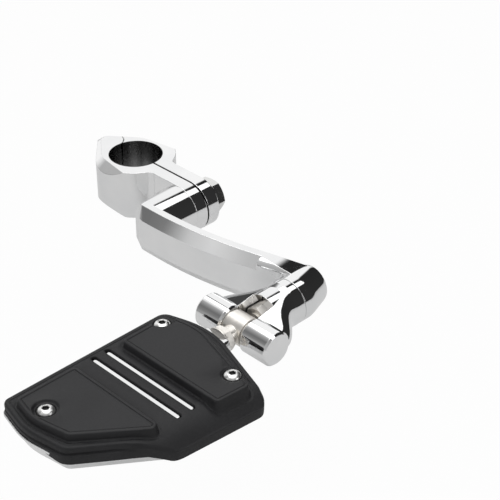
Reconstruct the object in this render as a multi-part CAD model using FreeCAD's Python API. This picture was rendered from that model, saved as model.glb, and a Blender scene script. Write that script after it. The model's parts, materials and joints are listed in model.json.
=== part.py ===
import FreeCAD, Part
import math
import os

from FreeCAD import Vector

# Folding motorcycle floorboard on a clamp-on offset arm. Millimetres.
# Origin: centre of the clamp's bore. +Z runs along the bore, +X from the bore to the clamp bolt,
# and the floorboard lies on the -Y side. The bolt, the barrel and the shank all lie along Y.

# Bar clamp
BAR_DIAMETER = 31.75
CLAMP_HEIGHT = 30.0
CLAMP_WALL = 7.9
CLAMP_GAP = 1.2
EAR_THICKNESS = 7.8
EAR_FILLET = 4.5
BOLT_X = 47.5
NOSE_REACH = 32.5
NOSE_TIP_RADIUS = 5.0
NOSE_FLANK_ANGLE = 47.0
HINGE_X = -23.5
HINGE_KNUCKLE_RADIUS = 8.0
HINGE_TONGUE_RADIUS = 5.5
HINGE_TONGUE_HEIGHT = 10.0
HINGE_PIN_DIAMETER = 5.0
HINGE_PIN_SINK = 0.5
HINGE_NECK_WIDTH = 7.7
HINGE_NECK_REACH = 10.0
HINGE_NECK_ANGLE = 55.0
SEAM_GAP = 0.4

# Sloped facets on the clamp's upper and lower edge
FACET_RUN = 5.4
FACET_DROP = 4.3
FACET_SIDE_DISTANCE = 18.2
FACET_SIDE_ANGLE = 9.0
FACET_FLANK_DISTANCE = 20.3
FACET_FLANK_ANGLE = 39.0
FACET_TIP_INSET = 3.0
FACET_BEND_RADIUS = 20.0
FACET_TIP_RADIUS = 3.5

# Clamp bolt and its washers
BOLT_DIAMETER = 12.0
BOLT_HEAD_FLATS = 19.0
BOLT_HEAD_HEIGHT = 5.8
BOLT_HOLE_CLEARANCE = 0.5
BOLT_THREAD_LENGTH = 22.0
BOLT_HEAD_BEVEL = 1.0
BOLT_TIP_BEVEL = 1.0
LOCK_WASHER_DIAMETER = 21.0
LOCK_WASHER_THICKNESS = 2.0
LOCK_WASHER_SPLIT = 1.2
FLAT_WASHER_DIAMETER = 24.0
FLAT_WASHER_THICKNESS = 1.6

# Offset arm. Places along X are measured back from the barrel's axis.
ARM_CORNER_X = 45.6
ARM_LEG_Y = -34.2
ARM_LEG_WIDTH = 13.4
ARM_LEG_RISE = 17.9
ARM_LEG_END = 2.5
ARM_TOP_WIDTH = 4.4
ARM_CHAMFER_DROP = 6.4
ARM_CHAMFER_END = 23.5
ARM_EDGE_RADIUS = 4.5
ARM_CORNER_RADIUS = 11.8
ARM_CORNER_TOP_RADIUS = 2.0
ARM_FALL_START = 26.5
ARM_FALL_MIDDLE = 13.5
ARM_FALL_MIDDLE_DROP = 1.1
ARM_FALL_END_DROP = 3.7
ARM_BOSS_SLANT = 8.6
ARM_THREAD_END_GAP = 1.0
BARREL_SPACING = 107.0
BARREL_RADIUS = 12.6
BARREL_BEND_Y = -25.0
BARREL_END_Y = -9.4
ELBOW_RADIUS = 11.9
ELBOW_SHIFT = 2.6
ELBOW_Y = -14.7
SEAM_Y = -30.0
COUNTERBORE_RADIUS = 7.2
COUNTERBORE_DEPTH = 4.4
TURN_CLEARANCE = 0.05

# Knuckle screw, washer and nut
SCREW_DIAMETER = 8.0
SCREW_HEAD_DIAMETER = 12.0
SCREW_HEAD_HEIGHT = 4.4
SCREW_SOCKET_FLATS = 6.0
SCREW_SOCKET_DEPTH = 3.0
SCREW_WASHER_DIAMETER = 13.8
SCREW_WASHER_THICKNESS = 1.6
SCREW_NUT_FLATS = 13.0
SCREW_NUT_HEIGHT = 5.0
SCREW_END_STICKOUT = 0.8
NUT_BEVEL = 0.8

# Fork knuckle
SPIGOT_RADIUS = 8.0
SPIGOT_LENGTH = 9.0
SPIGOT_END_GAP = 0.5
FORK_PIN_Y = -64.5
FORK_EAR_RADIUS = 9.3
FORK_WIDTH = 50.0
FORK_GAP = 14.4
FORK_CROTCH_Y = -49.0
FORK_FACE_GAP = 0.3
FORK_NECK_RADIUS = 12.2
EAR_CHAMFER = 1.0
SCREW_HOLE_CLEARANCE = 0.2

# Oval sections of the fork's neck and yoke: place along Y, half width, half height
FORK_SECTIONS = (
    (-35.0, 12.6, 12.6),
    (-43.0, 15.2, 11.6),
    (-51.0, 22.4, 10.0),
    (-60.0, 26.2, 8.4),
)

# Fold pivot
PIVOT_DIAMETER = 8.0
PIVOT_HEAD_DIAMETER = 12.0
PIVOT_HEAD_HEIGHT = 4.0
PIVOT_SOCKET_FLATS = 5.0
PIVOT_SOCKET_DEPTH = 2.5
PIVOT_THREAD_DIAMETER = 6.0
PIVOT_THREAD_LENGTH = 9.0
SPRING_WASHER_THICKNESS = 0.9
SPRING_WASHER_WAVE = 0.5
SIDE_WASHER_THICKNESS = 1.0
PIVOT_WASHER_DIAMETER = 15.0
SIDE_CLEARANCE = 0.1

# Peg adapter and jam nut
TONGUE_RADIUS = 8.2
HEEL_THICKNESS = 2.2
HEEL_GAP = 0.3
SHANK_DIAMETER = 8.0
SHANK_LENGTH = 36.0
SHANK_ROOT_DIAMETER = 10.6
SHANK_END_GAP = 1.0
JAM_NUT_FLATS = 13.0
JAM_NUT_HEIGHT = 4.0
JAM_NUT_EAR_GAP = 1.8
ADAPTER_WASHER_DIAMETER = 15.6
ADAPTER_WASHER_THICKNESS = 1.2

# Floorboard. Its plan is measured from the shank's axis along X and from the fold pivot along Y.
PAD_TOP_Z = 6.5
PAD_THICKNESS = 3.6
PAD_SKIRT_Z = 0.5
PAD_SKIRT_WALL = 2.8
ISLAND_HEIGHT = 3.6
ISLAND_SINK = 0.5
ISLAND_NOTCH_RADIUS = 9.0
BASE_BOTTOM_Z = -8.0
BASE_LIP = 0.8
BASE_LIP_HEIGHT = 1.2
BASE_TAPER = 3.0
BASE_FLOOR = 3.0
BASE_WALL = 3.0
BOSS_DIAMETER = 18.0
BOSS_WALL = 5.0
BOSS_ROOF = 1.2
POST_WALL = 3.0
POST_LIFT = 1.0
POST_SINK = 0.5
ROLL_WIDTH = 14.0
ROLL_DROP = 11.0
SLOT_WIDTH = 4.6
SLOT_SPACING = 8.6
SLOT_MIDDLE = -69.1
SLOT_LEFT_MARGIN = 3.8
SLOT_RIGHT_MARGIN = 15.0
RIB_WIDTH = 2.6
RIB_SINK = 1.2
RIB_END_GAP = 1.2
PAD_SCREW_HEAD_DIAMETER = 8.8
PAD_SCREW_HEAD_HEIGHT = 2.6
PAD_SCREW_SINK = 1.0
PAD_SCREW_SIDE_GAP = 0.4
PAD_SCREW_DIAMETER = 5.0
PAD_SCREW_HOLE_CLEARANCE = 0.3
PAD_SCREW_SOCKET_FLATS = 3.0
PAD_SCREW_SOCKET_DEPTH = 1.6
PAD_SCREW_END_LIFT = 2.0
PAD_SCREW_PLACES = ((-24.2, -31.5), (32.5, -37.9), (-9.5, -115.5))

# Corners of the plan with the radius that rounds each
BOARD_LEFT = 31.8
BOARD_RIGHT = 50.0
BOARD_NEAR_SIDE = (
    (-BOARD_LEFT, -24.0, 6.0),
    (-4.5, -15.5, 50.0),
    (BOARD_RIGHT, -34.0, 5.0),
)
BOARD_FAR_SIDE = (
    (44.8, -84.5, 12.0),
    (15.0, -125.0, 8.0),
    (-9.5, -129.0, 40.0),
    (-BOARD_LEFT, -124.0, 4.0),
)
INNER_ISLAND = (
    (-25.0, -27.0, 2.0),
    (-5.5, -22.7, 40.0),
    (45.0, -37.5, 2.5),
    (43.0, -58.0, 2.0),
    (-25.0, -58.0, 2.0),
)
OUTER_ISLAND = (
    (-25.0, -86.0, 2.0),
    (40.0, -86.0, 2.5),
    (12.5, -120.5, 4.0),
    (-8.5, -125.0, 30.0),
    (-25.0, -121.5, 3.0),
)
SMALLEST_CORNER = 0.6

BORE_RADIUS = BAR_DIAMETER / 2
CLAMP_RADIUS = BORE_RADIUS + CLAMP_WALL
HALF_HEIGHT = CLAMP_HEIGHT / 2
ARM_HEIGHT = CLAMP_HEIGHT
EAR_FACE_Y = CLAMP_GAP / 2 + EAR_THICKNESS
BARREL_X = BOLT_X + BARREL_SPACING
FAR = 400.0


def from_top(z):
    return lambda u, v: Vector(u, v, z)


def from_front(y):
    return lambda u, v: Vector(u, y, v)


def from_side(x):
    return lambda u, v: Vector(x, u, v)


def rounded_wire(corners, place):
    """Closed outline through (u, v, radius) corners, each rounded by its radius."""
    count = len(corners)
    pieces = []
    for index in range(count):
        before = corners[index - 1]
        here = corners[index]
        after = corners[(index + 1) % count]
        corner = Vector(here[0], here[1], 0)
        back = (Vector(before[0], before[1], 0) - corner).normalize()
        ahead = (Vector(after[0], after[1], 0) - corner).normalize()
        half = back.getAngle(ahead) / 2
        reach = here[2] / math.tan(half)
        middle = corner + (back + ahead).normalize() * (here[2] / math.sin(half) - here[2])
        pieces.append((corner + back * reach, middle, corner + ahead * reach))
    edges = []
    for index in range(count):
        start, middle, end = [place(p.x, p.y) for p in pieces[index]]
        following = place(pieces[(index + 1) % count][0].x, pieces[(index + 1) % count][0].y)
        if corners[index][2] > 0:
            edges.append(Part.Arc(start, middle, end).toShape())
        edges.append(Part.LineSegment(end, following).toShape())
    return Part.Wire(edges)


def moved_lines(lines, offset):
    """Corners where neighbouring lines meet, each line (angle, distance, radius) moved out by offset."""
    corners = []
    for index, line in enumerate(lines):
        following = lines[(index + 1) % len(lines)]
        a1, d1 = math.radians(line[0]), line[1] + offset
        a2, d2 = math.radians(following[0]), following[1] + offset
        turn = math.sin(a2 - a1)
        u = (d1 * math.sin(a2) - d2 * math.sin(a1)) / turn
        v = (d2 * math.cos(a1) - d1 * math.cos(a2)) / turn
        corners.append((u, v, line[2] + offset))
    return corners


def prism(corners, low, high):
    face = Part.Face(rounded_wire(corners, from_top(low)))
    return face.extrude(Vector(0, 0, high - low))


def tapered_prism(low_corners, low, high_corners, high):
    wires = [rounded_wire(low_corners, from_top(low)), rounded_wire(high_corners, from_top(high))]
    return Part.makeLoft(wires, True, True)


def box(x, y, z):
    return Part.makeBox(x[1] - x[0], y[1] - y[0], z[1] - z[0], Vector(x[0], y[0], z[0]))


def rod_y(radius, y, x, z=0.0):
    """Cylinder along Y between the two values in y."""
    low = min(y)
    return Part.makeCylinder(radius, max(y) - low, Vector(x, low, z), Vector(0, 1, 0))


def rod_x(radius, x, y, z=0.0):
    low = min(x)
    return Part.makeCylinder(radius, max(x) - low, Vector(low, y, z), Vector(1, 0, 0))


def rod_z(radius, z, x, y):
    low = min(z)
    return Part.makeCylinder(radius, max(z) - low, Vector(x, y, low), Vector(0, 0, 1))


def hexagon(flats, place, centre=(0.0, 0.0), turn=0.0):
    radius = flats / math.sqrt(3)
    points = []
    for step in range(7):
        angle = math.radians(60 * step + turn)
        points.append(place(centre[0] + radius * math.cos(angle), centre[1] + radius * math.sin(angle)))
    return Part.Face(Part.makePolygon(points))


def bevelled(solid, radius, bevel, y, x, facing):
    """Hexagonal solid with its corners turned off by a cone at the y end that faces out."""
    depth = bevel * 2
    reach = radius + depth / math.tan(math.radians(30))
    start = y - facing * depth
    cone = Part.makeCone(reach, radius, depth, Vector(x, start, 0), Vector(0, facing, 0))
    rest = rod_y(reach, (start, start - facing * FAR), x)
    return solid.common(cone.fuse(rest))


def clamp_outline():
    """Plan of the whole clamp: ring, pointed nose and ears with their fillets."""
    flank = math.radians(NOSE_FLANK_ANGLE)
    apex = -CLAMP_RADIUS / math.cos(flank)
    tip_centre = apex + NOSE_TIP_RADIUS / math.cos(flank)
    tip_touch = Vector(-math.cos(flank), -math.sin(flank), 0) * NOSE_TIP_RADIUS + Vector(tip_centre, 0, 0)
    ring_touch = Vector(-math.cos(flank), -math.sin(flank), 0) * CLAMP_RADIUS
    fillet_y = -EAR_FACE_Y - EAR_FILLET
    fillet_x = math.sqrt((CLAMP_RADIUS + EAR_FILLET) ** 2 - fillet_y**2)
    fillet_centre = Vector(fillet_x, fillet_y, 0)
    ear_touch = Vector(fillet_x, -EAR_FACE_Y, 0)
    fillet_touch = fillet_centre * (CLAMP_RADIUS / (CLAMP_RADIUS + EAR_FILLET))
    to_ear = (ear_touch - fillet_centre).normalize()
    to_ring = (fillet_touch - fillet_centre).normalize()
    fillet_middle = fillet_centre + (to_ear + to_ring).normalize() * EAR_FILLET
    ear_end = Vector(BOLT_X + HALF_HEIGHT, -EAR_FACE_Y, 0)

    def mirrored(p):
        return Vector(p.x, -p.y, 0)

    edges = [
        Part.LineSegment(mirrored(ear_end), ear_end).toShape(),
        Part.LineSegment(ear_end, ear_touch).toShape(),
        Part.Arc(ear_touch, fillet_middle, fillet_touch).toShape(),
        Part.Arc(fillet_touch, Vector(0, -CLAMP_RADIUS, 0), ring_touch).toShape(),
        Part.LineSegment(ring_touch, tip_touch).toShape(),
        Part.Arc(tip_touch, Vector(tip_centre - NOSE_TIP_RADIUS, 0, 0), mirrored(tip_touch)).toShape(),
        Part.LineSegment(mirrored(tip_touch), mirrored(ring_touch)).toShape(),
        Part.Arc(mirrored(ring_touch), Vector(0, CLAMP_RADIUS, 0), mirrored(fillet_touch)).toShape(),
        Part.Arc(mirrored(fillet_touch), mirrored(fillet_middle), mirrored(ear_touch)).toShape(),
        Part.LineSegment(mirrored(ear_touch), mirrored(ear_end)).toShape(),
    ]
    return Part.Wire(edges)


def facet_envelope():
    """Space inside the sloped facets: a tapered prism that narrows towards the upper face."""
    side = 270.0 - FACET_SIDE_ANGLE
    flank = 270.0 - FACET_FLANK_ANGLE
    tip_distance = NOSE_REACH - FACET_TIP_INSET
    lines = (
        (180.0, tip_distance, FACET_TIP_RADIUS),
        (flank, FACET_FLANK_DISTANCE, FACET_BEND_RADIUS),
        (side, FACET_SIDE_DISTANCE, 0.0),
        (360.0, FAR, 0.0),
        (360.0 - side, FACET_SIDE_DISTANCE, FACET_BEND_RADIUS),
        (360.0 - flank, FACET_FLANK_DISTANCE, FACET_TIP_RADIUS),
    )
    full_offset = FACET_RUN * HALF_HEIGHT / FACET_DROP

    def corners(offset):
        found = []
        for (u, v, radius), line in zip(moved_lines(lines, offset), lines):
            found.append((u, v, radius if line[2] > 0 else 0.0))
        return found

    upper = tapered_prism(corners(full_offset), 0.0, corners(0.0), HALF_HEIGHT)
    lower = upper.mirror(Vector(0, 0, 0), Vector(0, 0, 1))
    return upper.fuse(lower)


def clamp_body():
    plan = Part.Face(clamp_outline()).extrude(Vector(0, 0, CLAMP_HEIGHT))
    plan.translate(Vector(0, 0, -HALF_HEIGHT))
    side = box((-FAR, BOLT_X), (-FAR, FAR), (-HALF_HEIGHT, HALF_HEIGHT))
    side = side.fuse(rod_y(HALF_HEIGHT, (-FAR, FAR), BOLT_X))
    solid = plan.common(side).common(facet_envelope())
    solid = solid.cut(rod_z(BORE_RADIUS, (-HALF_HEIGHT, HALF_HEIGHT), 0, 0))
    hole = BOLT_DIAMETER / 2 + BOLT_HOLE_CLEARANCE
    return solid.cut(rod_y(hole, (-EAR_FACE_Y, EAR_FACE_Y), BOLT_X))


def hinge_space(extra):
    """Round tongue and its neck inside the nose, grown by extra."""
    half = HINGE_TONGUE_HEIGHT / 2 + extra
    tongue = rod_z(HINGE_TONGUE_RADIUS + extra, (-half, half), HINGE_X, 0)
    neck_side = HINGE_NECK_WIDTH / 2 + extra
    neck = box((0, HINGE_NECK_REACH), (-neck_side, neck_side), (-half, half))
    neck.rotate(Vector(0, 0, 0), Vector(0, 0, 1), HINGE_NECK_ANGLE)
    neck.translate(Vector(HINGE_X, 0, 0))
    return tongue.fuse(neck)


def clamp_halves():
    whole = clamp_body()
    full = (-HALF_HEIGHT, HALF_HEIGHT)
    bore = rod_z(BORE_RADIUS, full, 0, 0)
    nose = box((-FAR, HINGE_X), (-FAR, FAR), full).fuse(rod_z(HINGE_KNUCKLE_RADIUS, full, HINGE_X, 0))
    nose_space = box((-FAR, HINGE_X + SEAM_GAP), (-FAR, FAR), full)
    nose_space = nose_space.fuse(rod_z(HINGE_KNUCKLE_RADIUS + SEAM_GAP, full, HINGE_X, 0))
    near_side = box((-FAR, FAR), (-FAR, -CLAMP_GAP / 2), full)
    far_side = box((-FAR, FAR), (CLAMP_GAP / 2, FAR), full)
    front = whole.common(near_side.fuse(nose)).cut(hinge_space(SEAM_GAP))
    rear = whole.common(far_side).cut(nose_space)
    rear = rear.fuse(hinge_space(0).cut(bore))
    pin_top = HALF_HEIGHT - FACET_DROP
    pin_hole = rod_z(HINGE_PIN_DIAMETER / 2, (-HALF_HEIGHT, pin_top), HINGE_X, 0)
    pin = rod_z(HINGE_PIN_DIAMETER / 2, (-HALF_HEIGHT + HINGE_PIN_SINK, pin_top), HINGE_X, 0)
    return front.cut(pin_hole), rear.cut(pin_hole).removeSplitter(), pin


def clamp_fasteners():
    y = EAR_FACE_Y
    hole = BOLT_DIAMETER / 2 + BOLT_HOLE_CLEARANCE
    flat = rod_y(FLAT_WASHER_DIAMETER / 2, (y, y + FLAT_WASHER_THICKNESS), BOLT_X)
    flat = flat.cut(rod_y(hole, (y, y + FLAT_WASHER_THICKNESS), BOLT_X))
    y += FLAT_WASHER_THICKNESS
    lock = rod_y(LOCK_WASHER_DIAMETER / 2, (y, y + LOCK_WASHER_THICKNESS), BOLT_X)
    lock = lock.cut(rod_y(hole, (y, y + LOCK_WASHER_THICKNESS), BOLT_X))
    split = box((-LOCK_WASHER_SPLIT / 2, LOCK_WASHER_SPLIT / 2), (-FAR, FAR), (0, LOCK_WASHER_DIAMETER))
    split.translate(Vector(BOLT_X, 0, 0))
    lock = lock.cut(split)
    y += LOCK_WASHER_THICKNESS
    head = hexagon(BOLT_HEAD_FLATS, from_front(y), (BOLT_X, 0)).extrude(Vector(0, BOLT_HEAD_HEIGHT, 0))
    head = bevelled(head, BOLT_HEAD_FLATS / 2, BOLT_HEAD_BEVEL, y + BOLT_HEAD_HEIGHT, BOLT_X, 1)
    end = -EAR_FACE_Y - BOLT_THREAD_LENGTH
    tip = BOLT_TIP_BEVEL
    radius = BOLT_DIAMETER / 2
    shank = rod_y(radius, (end + tip, y), BOLT_X)
    point = Part.makeCone(radius, radius - tip, tip, Vector(BOLT_X, end + tip, 0), Vector(0, -1, 0))
    bolt = head.fuse([shank, point]).removeSplitter()
    return bolt, lock, flat


def arm_leg():
    """Eight-cornered bar swept round the leg's long bend, with its chamfers stopped before the barrel."""
    start = ARM_CORNER_X + ARM_CORNER_RADIUS
    run = BARREL_X - ARM_LEG_END - start
    bend_radius = (run**2 + ARM_LEG_RISE**2) / (2 * ARM_LEG_RISE)
    half = ARM_HEIGHT / 2
    width = ARM_LEG_WIDTH / 2
    top = ARM_TOP_WIDTH / 2
    shoulder = half - ARM_CHAMFER_DROP
    chamfered = (
        (-top, half, 0.0),
        (top, half, 0.0),
        (width, shoulder, 0.0),
        (width, -shoulder, 0.0),
        (top, -half, 0.0),
        (-top, -half, 0.0),
        (-width, -shoulder, 0.0),
        (-width, shoulder, 0.0),
    )
    rounded = (
        (-width, half, ARM_EDGE_RADIUS),
        (0.0, half, 0.0),
        (0.0, -half, 0.0),
        (-width, -half, ARM_EDGE_RADIUS),
    )
    centre = Vector(start, ARM_LEG_Y + bend_radius, 0)
    turn = math.degrees(math.asin(run / bend_radius))

    def swept(section):
        corners = [(ARM_LEG_Y + u, v, radius) for u, v, radius in section]
        face = Part.Face(rounded_wire(corners, from_side(start)))
        return face.revolve(centre, Vector(0, 0, 1), turn)

    near_barrel = box((BARREL_X - ARM_CHAMFER_END, FAR), (-FAR, FAR), (-half, half))
    bar = swept(chamfered).fuse(swept(rounded).common(near_barrel))
    return bar.common(arm_side_envelope())


def arm_side_envelope():
    """Space under the leg's top line, which falls to the barrel, and its mirror below."""
    half = ARM_HEIGHT / 2
    level = Vector(BARREL_X - ARM_FALL_START, 0, half)
    middle = Vector(BARREL_X - ARM_FALL_MIDDLE, 0, half - ARM_FALL_MIDDLE_DROP)
    low = Vector(BARREL_X - ARM_LEG_END, 0, half - ARM_FALL_END_DROP)

    def below(p):
        return Vector(p.x, p.y, -p.z)

    edges = [
        Part.LineSegment(Vector(0, 0, -half), Vector(0, 0, half)).toShape(),
        Part.LineSegment(Vector(0, 0, half), level).toShape(),
        Part.Arc(level, middle, low).toShape(),
        Part.LineSegment(low, below(low)).toShape(),
        Part.Arc(below(low), below(middle), below(level)).toShape(),
        Part.LineSegment(below(level), Vector(0, 0, -half)).toShape(),
    ]
    side = Part.Face(Part.Wire(edges)).extrude(Vector(0, FAR, 0))
    side.translate(Vector(0, BARREL_END_Y - FAR, 0))
    return side


def arm_boss():
    """Round boss from the clamp's ear to the corner, cut away by slanted flats on its outer side."""
    face = -EAR_FACE_Y
    inner = ARM_LEG_Y - ARM_TOP_WIDTH / 2
    half = ARM_HEIGHT / 2
    shoulder = half - ARM_CHAMFER_DROP
    slope = (ARM_LEG_WIDTH - ARM_TOP_WIDTH) / 2

    def section(y, left, edge):
        points = ((left, half), (FAR, half), (FAR, -half), (left, -half), (edge, -shoulder), (edge, shoulder))
        return Part.makePolygon([Vector(u, y, v) for u, v in points + points[:1]])

    corner = section(inner, ARM_CORNER_X, ARM_CORNER_X - slope)
    start = section(face, ARM_CORNER_X - slope / 2, ARM_CORNER_X - slope - ARM_BOSS_SLANT)
    flats = Part.makeLoft([corner, start], True, True)
    return rod_y(half, (inner, face), BOLT_X).common(flats)


def cone_between(start, radius, end, end_radius):
    """Cone that touches two balls, from one centre towards the other."""
    axis = end - start
    tilt = math.asin((radius - end_radius) / axis.Length)
    along = Vector(axis).normalize()
    first = start + along * (radius * math.sin(tilt))
    second = end + along * (end_radius * math.sin(tilt))
    low, high = radius * math.cos(tilt), end_radius * math.cos(tilt)
    return Part.makeCone(low, high, (second - first).Length, first, along)


def barrel():
    """Stubby barrel that bends a little towards the leg and ends in a cut ball."""
    bend = Vector(BARREL_X, BARREL_BEND_Y, 0)
    elbow = Vector(BARREL_X - ELBOW_SHIFT, ELBOW_Y, 0)
    solid = rod_y(BARREL_RADIUS, (SEAM_Y, BARREL_BEND_Y), BARREL_X)
    balls = [Part.makeSphere(BARREL_RADIUS, bend), Part.makeSphere(ELBOW_RADIUS, elbow)]
    solid = solid.fuse(balls + [cone_between(bend, BARREL_RADIUS, elbow, ELBOW_RADIUS)])
    return solid.common(box((0, FAR), (SEAM_Y, BARREL_END_Y), (-FAR, FAR)))


def arm_corner():
    """Squared corner with the leg's chamfers and a rounded outer upright edge."""
    half = ARM_HEIGHT / 2
    width = ARM_LEG_WIDTH / 2
    slope = width - ARM_TOP_WIDTH / 2
    left = ARM_CORNER_X - slope
    right = ARM_CORNER_X + ARM_CORNER_RADIUS

    def corners(offset, radius):
        return (
            (left + offset, ARM_LEG_Y - width + offset, radius),
            (right, ARM_LEG_Y - width + offset, 0.0),
            (right, ARM_LEG_Y + width - offset, 0.0),
            (left + offset, ARM_LEG_Y + width - offset, 0.0),
        )

    wide = corners(0.0, ARM_CORNER_RADIUS)
    narrow = corners(slope, ARM_CORNER_TOP_RADIUS)
    shoulder = half - ARM_CHAMFER_DROP
    cap = tapered_prism(wide, shoulder, narrow, half)
    return prism(wide, -shoulder, shoulder).fuse([cap, cap.mirror(Vector(0, 0, 0), Vector(0, 0, 1))])


def offset_arm():
    solid = arm_leg().fuse([arm_corner(), arm_boss(), barrel()])
    thread = BOLT_DIAMETER / 2 + TURN_CLEARANCE
    thread_end = -EAR_FACE_Y - BOLT_THREAD_LENGTH - ARM_THREAD_END_GAP
    solid = solid.cut(rod_y(thread, (thread_end, -EAR_FACE_Y), BOLT_X))
    end = BARREL_END_Y
    solid = solid.cut(rod_y(COUNTERBORE_RADIUS, (end - COUNTERBORE_DEPTH, end), BARREL_X))
    solid = solid.cut(rod_y(SCREW_DIAMETER / 2 + TURN_CLEARANCE, (SEAM_Y, end), BARREL_X))
    spigot = SPIGOT_RADIUS + TURN_CLEARANCE
    solid = solid.cut(rod_y(spigot, (SEAM_Y, SEAM_Y + SPIGOT_LENGTH + SPIGOT_END_GAP), BARREL_X))
    return solid.removeSplitter()


def knuckle_fasteners():
    seat = BARREL_END_Y - COUNTERBORE_DEPTH
    washer = rod_y(SCREW_WASHER_DIAMETER / 2, (seat, seat + SCREW_WASHER_THICKNESS), BARREL_X)
    hole = SCREW_DIAMETER / 2 + SCREW_HOLE_CLEARANCE
    washer = washer.cut(rod_y(hole, (seat, seat + SCREW_WASHER_THICKNESS), BARREL_X))
    under = seat + SCREW_WASHER_THICKNESS
    head = rod_y(SCREW_HEAD_DIAMETER / 2, (under, under + SCREW_HEAD_HEIGHT), BARREL_X)
    socket = hexagon(SCREW_SOCKET_FLATS, from_front(under + SCREW_HEAD_HEIGHT), (BARREL_X, 0))
    head = head.cut(socket.extrude(Vector(0, -SCREW_SOCKET_DEPTH, 0)))
    nut_face = FORK_CROTCH_Y - SCREW_NUT_HEIGHT
    end = nut_face - SCREW_END_STICKOUT
    screw = head.fuse(rod_y(SCREW_DIAMETER / 2, (end, under), BARREL_X)).removeSplitter()
    nut = hexagon(SCREW_NUT_FLATS, from_front(FORK_CROTCH_Y), (BARREL_X, 0), 30)
    nut = nut.extrude(Vector(0, -SCREW_NUT_HEIGHT, 0))
    nut = bevelled(nut, SCREW_NUT_FLATS / 2, NUT_BEVEL, nut_face, BARREL_X, -1)
    nut = nut.cut(rod_y(SCREW_DIAMETER / 2, (nut_face, FORK_CROTCH_Y), BARREL_X))
    return screw, washer, nut


def fork_yoke():
    """Round neck that flares out to the ears, through oval sections square to the barrel."""
    sections = []
    for y, half_width, half_height in FORK_SECTIONS:
        oval = Part.Ellipse(Vector(0, 0, 0), half_width, half_height).toShape()
        oval.rotate(Vector(0, 0, 0), Vector(1, 0, 0), 90)
        oval.translate(Vector(BARREL_X, y, 0))
        sections.append(Part.Wire([oval]))
    return Part.makeLoft(sections, True, False)


def fork_ear(left, right):
    """Round ear across X with both its edges chamfered."""
    radius = FORK_EAR_RADIUS
    small = radius - EAR_CHAMFER
    profile = (
        (left, 0.0),
        (left, small),
        (left + EAR_CHAMFER, radius),
        (right - EAR_CHAMFER, radius),
        (right, small),
        (right, 0.0),
    )
    points = [Vector(x, FORK_PIN_Y + reach, 0) for x, reach in profile]
    face = Part.Face(Part.makePolygon(points + points[:1]))
    return face.revolve(Vector(0, FORK_PIN_Y, 0), Vector(1, 0, 0), 360)


def fork_knuckle():
    face = SEAM_Y - FORK_FACE_GAP
    left, right = BARREL_X - FORK_WIDTH / 2, BARREL_X + FORK_WIDTH / 2
    gap = FORK_GAP / 2
    collar = rod_y(BARREL_RADIUS, (FORK_SECTIONS[0][0], face), BARREL_X)
    neck = rod_y(FORK_NECK_RADIUS, (FORK_CROTCH_Y, face), BARREL_X)
    ears = [fork_ear(left, BARREL_X - gap), fork_ear(BARREL_X + gap, right)]
    yoke = fork_yoke().common(box((left, right), (-FAR, FAR), (-FAR, FAR)))
    yoke = yoke.cut(box((BARREL_X - gap, BARREL_X + gap), (-FAR, FORK_CROTCH_Y), (-FAR, FAR)))
    solid = collar.fuse([neck, yoke] + ears)
    solid = solid.fuse(rod_y(SPIGOT_RADIUS, (face, SEAM_Y + SPIGOT_LENGTH), BARREL_X))
    solid = solid.cut(rod_y(SCREW_DIAMETER / 2 + SCREW_HOLE_CLEARANCE, (FORK_CROTCH_Y, 0), BARREL_X))
    solid = solid.cut(rod_x(PIVOT_DIAMETER / 2 + TURN_CLEARANCE, (left, BARREL_X + gap), FORK_PIN_Y))
    head = PIVOT_HEAD_DIAMETER / 2 + SCREW_HOLE_CLEARANCE
    solid = solid.cut(rod_x(head, (left, left + PIVOT_HEAD_HEIGHT), FORK_PIN_Y))
    thread_end = BARREL_X + gap + PIVOT_THREAD_LENGTH
    solid = solid.cut(rod_x(PIVOT_THREAD_DIAMETER / 2, (BARREL_X + gap, thread_end), FORK_PIN_Y))
    return solid.removeSplitter()


def fold_pivot():
    half = FORK_WIDTH / 2
    gap = FORK_GAP / 2
    left = BARREL_X - half
    under = left + PIVOT_HEAD_HEIGHT
    head = rod_x(PIVOT_HEAD_DIAMETER / 2, (left, under), FORK_PIN_Y)
    socket = hexagon(PIVOT_SOCKET_FLATS, from_side(left), (FORK_PIN_Y, 0))
    head = head.cut(socket.extrude(Vector(PIVOT_SOCKET_DEPTH, 0, 0)))
    shoulder = rod_x(PIVOT_DIAMETER / 2, (under, BARREL_X + gap), FORK_PIN_Y)
    thread_end = BARREL_X + gap + PIVOT_THREAD_LENGTH
    thread = rod_x(PIVOT_THREAD_DIAMETER / 2, (BARREL_X + gap, thread_end), FORK_PIN_Y)
    return head.fuse([shoulder, thread]).removeSplitter()


def side_washer(x, thickness):
    """Flat washer on the fold pivot, from x towards +X."""
    span = (x, x + thickness)
    washer = rod_x(PIVOT_WASHER_DIAMETER / 2, span, FORK_PIN_Y)
    return washer.cut(rod_x(PIVOT_DIAMETER / 2 + TURN_CLEARANCE, span, FORK_PIN_Y))


def spring_washer(x, room):
    """Dished friction washer on the fold pivot that fills the room from x towards +X."""
    dish = room - SPRING_WASHER_THICKNESS
    inner = PIVOT_DIAMETER / 2 + TURN_CLEARANCE
    outer = PIVOT_WASHER_DIAMETER / 2
    points = (
        (inner, dish),
        (outer, 0.0),
        (outer, SPRING_WASHER_THICKNESS),
        (inner, room),
    )
    profile = [Vector(x + along, FORK_PIN_Y + radius, 0) for radius, along in points]
    face = Part.Face(Part.makePolygon(profile + profile[:1]))
    return face.revolve(Vector(0, FORK_PIN_Y, 0), Vector(1, 0, 0), 360)


def tongue_span():
    gap = FORK_GAP / 2
    spring_room = SPRING_WASHER_THICKNESS + SPRING_WASHER_WAVE
    left = BARREL_X - gap + spring_room + 2 * SIDE_CLEARANCE
    right = BARREL_X + gap - SIDE_WASHER_THICKNESS - 2 * SIDE_CLEARANCE
    return left, right


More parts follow.
